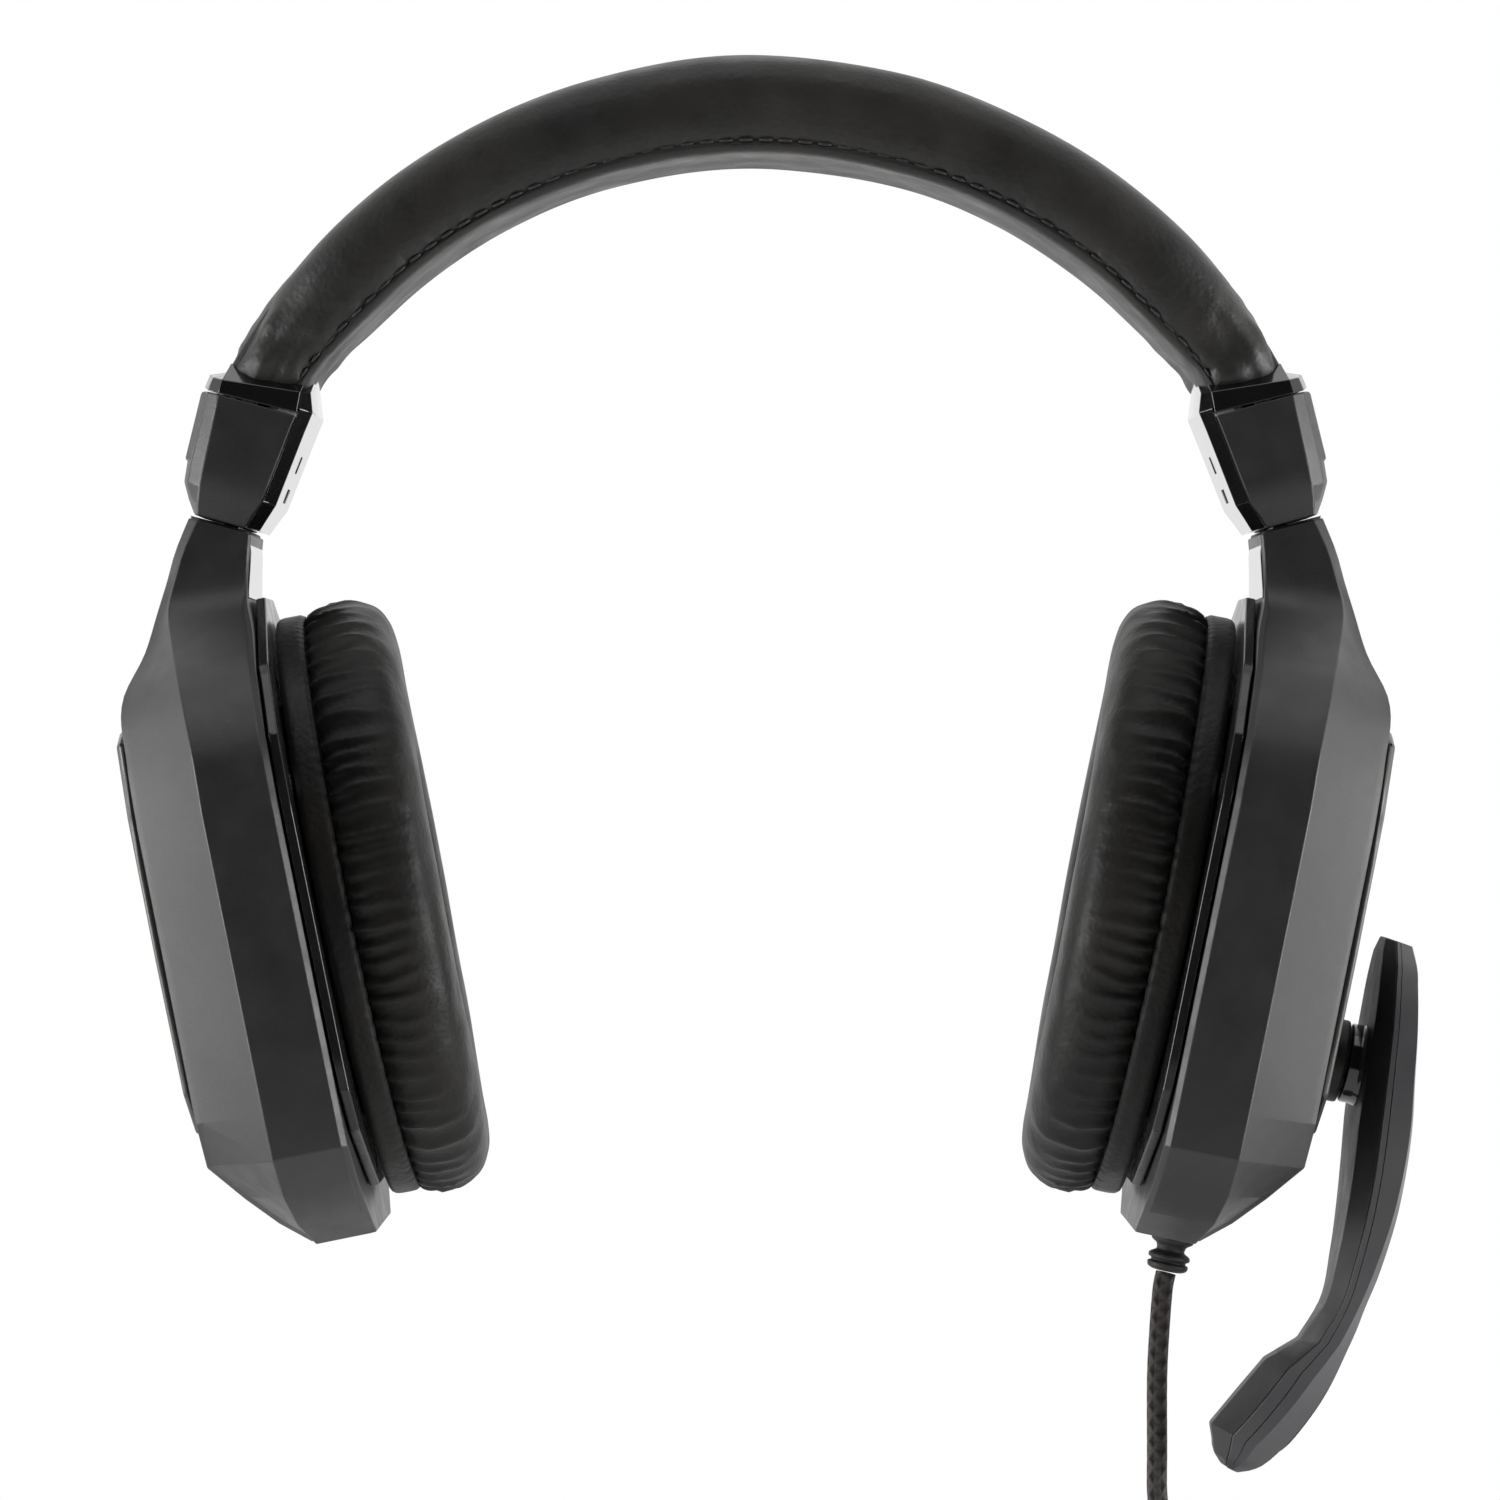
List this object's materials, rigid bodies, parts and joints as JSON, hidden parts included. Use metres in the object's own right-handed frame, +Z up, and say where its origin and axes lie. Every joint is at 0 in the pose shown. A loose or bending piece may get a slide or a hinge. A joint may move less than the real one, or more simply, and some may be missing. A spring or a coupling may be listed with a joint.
{
  "type": "gaming headset",
  "caption": "Over-ear gaming headset: padded arc headband, sliding ear cups with oval cushions, a boom microphone that swings down from one cup, and a coiled braided cord with a round plug.",
  "frame": {"origin": "middle of the headband underside, where the crown of the head carries it", "axes": "+X to the wearer's left, where the microphone is; -Y the way the wearer faces; +Z up"},
  "size_m": [0.2026, 0.088, 0.3163],
  "materials": {
    "leatherette": "black synthetic leather with a fine grain and a soft sheen",
    "shell": "charcoal moulded plastic, satin to matte",
    "gloss_trim": "polished piano black",
    "dark_plastic": "fine textured black plastic",
    "rubber": "soft black rubber",
    "steel": "brushed spring steel",
    "cloth": "black open-weave cloth",
    "film": "thin amber polymer film",
    "braid": "dark brown-black textile braid",
    "gold": "thin gold plating",
    "circuit_board": "green solder mask"
  },
  "bodies": {
    "headband": {"headband_cover": "leatherette", "headband_spring": "steel", "crossover_cable": "rubber", "adjuster_housing_left": "shell", "adjuster_housing_right": "shell", "adjuster_plate_left": "shell", "adjuster_plate_right": "shell", "detent_spring_left": "steel", "detent_spring_right": "steel", "band_screw_left": "steel", "band_screw_right": "steel"},
    "earcup_left": {"slider_left": "steel", "cup_shell_left": "shell", "trim_plate_left": "gloss_trim", "speaker_carrier_left": "dark_plastic", "pad_ring_left": "rubber", "ear_pad_left": "leatherette", "speaker_cloth_left": "cloth", "driver_grille_left": "dark_plastic", "driver_diaphragm_left": "film", "driver_basket_left": "steel", "driver_magnet_left": "steel", "badge_plate_left": "dark_plastic", "badge_inlay_left": "gloss_trim", "shell_screw_left_1": "steel", "shell_screw_left_2": "steel", "pivot_base": "dark_plastic", "mic_board": "circuit_board", "strain_relief": "rubber", "cord": "braid", "cord_coil": "braid", "cord_tie": "cloth", "cord_tail": "braid", "plug_sleeve": "rubber", "plug_grip": "rubber", "jack_pin": "gold"},
    "earcup_right": {"slider_right": "steel", "cup_shell_right": "shell", "trim_plate_right": "gloss_trim", "speaker_carrier_right": "dark_plastic", "pad_ring_right": "rubber", "ear_pad_right": "leatherette", "speaker_cloth_right": "cloth", "driver_grille_right": "dark_plastic", "driver_diaphragm_right": "film", "driver_basket_right": "steel", "driver_magnet_right": "steel", "badge_plate_right": "dark_plastic", "badge_inlay_right": "gloss_trim", "shell_screw_right_1": "steel", "shell_screw_right_2": "steel"},
    "mic_boom": {"boom_inner_half": "shell", "boom_outer_half": "shell", "mic_capsule": "steel", "pivot_collar": "dark_plastic", "pivot_shaft": "steel"}
  },
  "joints": [
    {"name": "adjuster_left_slide", "type": "slide", "parent": "headband", "child": "earcup_left", "axis": [0.2672, 0, -0.9636], "range_m": [0, 0.025]},
    {"name": "adjuster_right_slide", "type": "slide", "parent": "headband", "child": "earcup_right", "axis": [-0.2672, 0, -0.9636], "range_m": [0, 0.025]},
    {"name": "mic_swing", "type": "hinge", "parent": "earcup_left", "child": "mic_boom", "pos_m": [0.09205, 0, -0.14237], "axis": [-0.9799, 0, 0.1994], "range_deg": [0, 120]}
  ]
}
